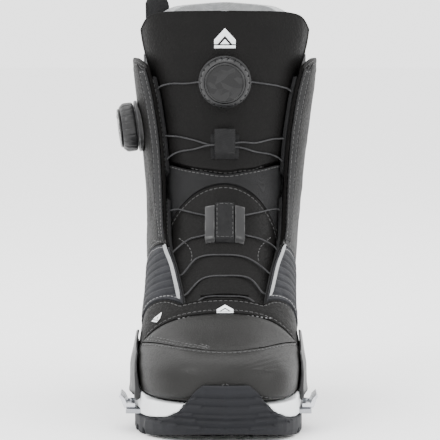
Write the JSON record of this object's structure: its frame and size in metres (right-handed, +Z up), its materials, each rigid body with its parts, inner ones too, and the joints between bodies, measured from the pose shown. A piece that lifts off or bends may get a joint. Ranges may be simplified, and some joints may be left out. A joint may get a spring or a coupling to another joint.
{
  "type": "snowboard boot",
  "caption": "Right-foot snowboard boot with turn-dial lacing, a padded tongue, a removable liner and a step-in sole with toe cleats and a heel clip.",
  "frame": {"origin": "on the ground, at the centre of the heel tread's flat face", "axes": "+Z up, the toe points along -Y, the wearer's inner (medial) side is +X"},
  "size_m": [0.148, 0.3091, 0.3019],
  "materials": {
    "upper_leather": "black pebbled synthetic leather, low sheen",
    "quarter_textile": "charcoal ribbed textile",
    "stretch_panel": "smooth black stretch fabric",
    "webbing": "black woven webbing",
    "liner_fabric": "black fleece and knit over foam",
    "grey_binding": "pale grey binding tape and piping",
    "white_foam": "off-white moulded foam, matt",
    "outsole_rubber": "blue-black rubber, matt",
    "shell_plastic": "black moulded plastic, satin",
    "black_plastic": "black plastic, satin",
    "dial_cap": "gloss black plastic",
    "steel": "bright steel",
    "lace_cord": "dark grey coated cord",
    "badge": "off-white raised badge"
  },
  "bodies": {
    "boot": {"outsole_forefoot": "outsole_rubber", "outsole_heel": "outsole_rubber", "midsole": "white_foam", "cleat_plate": "black_plastic", "side_shell_lateral": "shell_plastic", "side_shell_medial": "shell_plastic", "toe_cleat_lateral": "steel", "toe_cleat_medial": "steel", "cleat_screw_lateral": "steel", "cleat_screw_medial": "steel", "heel_clip": "black_plastic", "heel_clip_screw_lower": "steel", "heel_clip_screw_upper": "steel", "toe_cap": "upper_leather", "toe_panel": "upper_leather", "vamp": "upper_leather", "heel_counter": "upper_leather", "lasting_board": "black_plastic", "quarter_lateral": "quarter_textile", "quarter_medial": "quarter_textile", "cuff_lateral": "upper_leather", "cuff_medial": "upper_leather", "lace_guide_upper_lateral": "webbing", "lace_guide_upper_medial": "webbing", "lace_guide_lower_lateral": "webbing", "lace_guide_lower_medial": "webbing", "opening_facing_lateral": "upper_leather", "opening_facing_medial": "upper_leather", "quarter_piping_lateral": "grey_binding", "quarter_piping_medial": "grey_binding", "backstay": "upper_leather", "tongue_lower": "upper_leather", "tongue_flex": "stretch_panel", "tongue_upper": "upper_leather", "lace_loop_upper": "webbing", "lace_loop_lower": "webbing", "loop_insert_lateral": "black_plastic", "loop_insert_medial": "black_plastic", "tongue_badge": "badge", "front_dial_housing": "black_plastic", "front_dial_axle": "steel", "side_dial_housing": "black_plastic", "side_dial_axle": "steel", "lace_upper_lateral": "lace_cord", "lace_upper_medial": "lace_cord", "lace_lower": "lace_cord", "liner_shell": "liner_fabric", "liner_tongue": "liner_fabric", "liner_collar_binding": "grey_binding", "footbed": "white_foam", "liner_pull_tab": "webbing", "rear_pull_loop": "webbing"},
    "front_dial_grip": {"front_dial_knob": "black_plastic", "front_dial_cap": "dial_cap"},
    "front_dial_pawl": {"front_dial_drive": "black_plastic", "front_dial_spool": "black_plastic"},
    "side_dial_grip": {"side_dial_knob": "black_plastic", "side_dial_cap": "dial_cap"},
    "side_dial_pawl": {"side_dial_drive": "black_plastic", "side_dial_spool": "black_plastic"}
  },
  "joints": [
    {"name": "front_dial_turn", "type": "hinge", "parent": "boot", "child": "front_dial_pawl", "pos_m": [0, -0.1012, 0.2366], "axis": [0, -0.9991, -0.0421], "continuous": true},
    {"name": "front_dial_pull", "type": "slide", "parent": "front_dial_pawl", "child": "front_dial_grip", "axis": [0, -0.9991, -0.0421], "range_m": [0, 0.003]},
    {"name": "side_dial_turn", "type": "hinge", "parent": "boot", "child": "side_dial_pawl", "pos_m": [-0.06281, -0.046, 0.202], "axis": [-0.9888, -0.0867, -0.1218], "continuous": true},
    {"name": "side_dial_pull", "type": "slide", "parent": "side_dial_pawl", "child": "side_dial_grip", "axis": [-0.9888, -0.0867, -0.1218], "range_m": [0, 0.003]}
  ]
}
